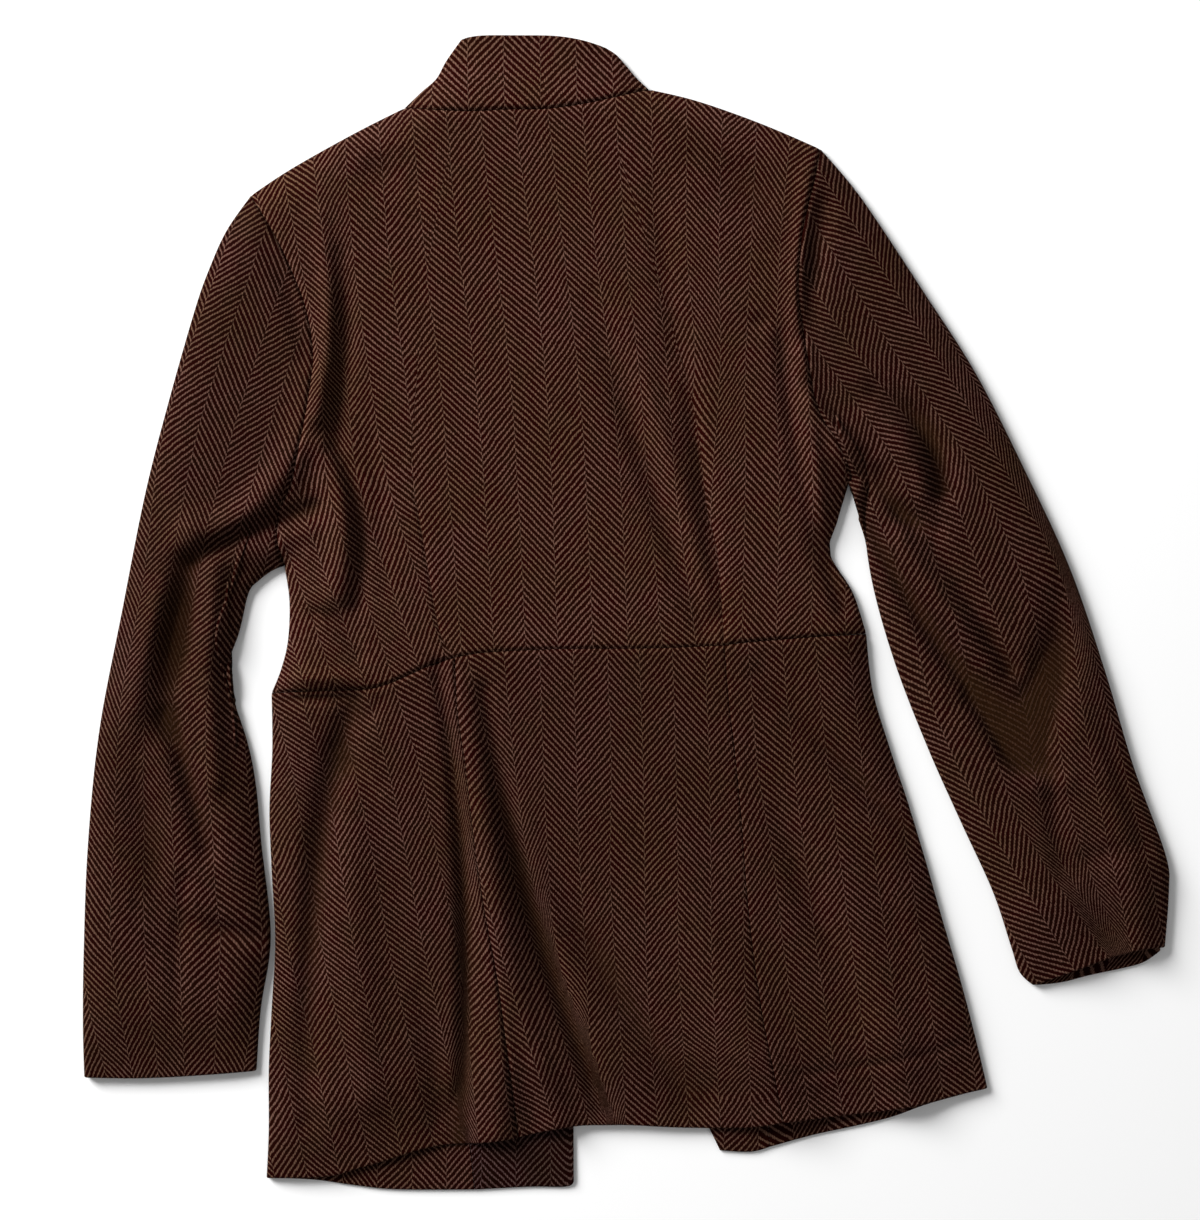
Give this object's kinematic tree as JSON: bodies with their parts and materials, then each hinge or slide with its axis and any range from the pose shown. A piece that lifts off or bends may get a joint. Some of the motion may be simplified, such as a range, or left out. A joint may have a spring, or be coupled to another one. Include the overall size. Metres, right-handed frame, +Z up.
{
  "type": "long cardigan",
  "caption": "Tailored long cardigan of herringbone knit, laid flat face down, with a stand collar, set-in sleeves and a flared peplum.",
  "frame": {"origin": "on the surface the garment lies on, under the middle of its outline", "axes": "+Z up from that surface, +Y towards the collar, +X towards the wearer's right sleeve"},
  "size_m": [0.7606, 0.809, 0.0183],
  "materials": {
    "knit_back": "matt herringbone knit",
    "knit_front": "matt herringbone knit",
    "knit_sleeve": "matt herringbone knit",
    "knit_collar": "matt herringbone knit"
  },
  "bodies": {
    "root": {"collar": "knit_collar", "back_bodice": "knit_back", "back_peplum_left": "knit_back", "back_peplum_centre": "knit_back", "back_peplum_right": "knit_back", "front_bodice_left": "knit_front", "front_bodice_right": "knit_front", "front_peplum_side_left": "knit_front", "front_peplum_side_right": "knit_front", "front_peplum_centre_left": "knit_front", "front_peplum_centre_right": "knit_front", "sleeve_left": "knit_sleeve", "sleeve_right": "knit_sleeve"}
  },
  "joints": []
}
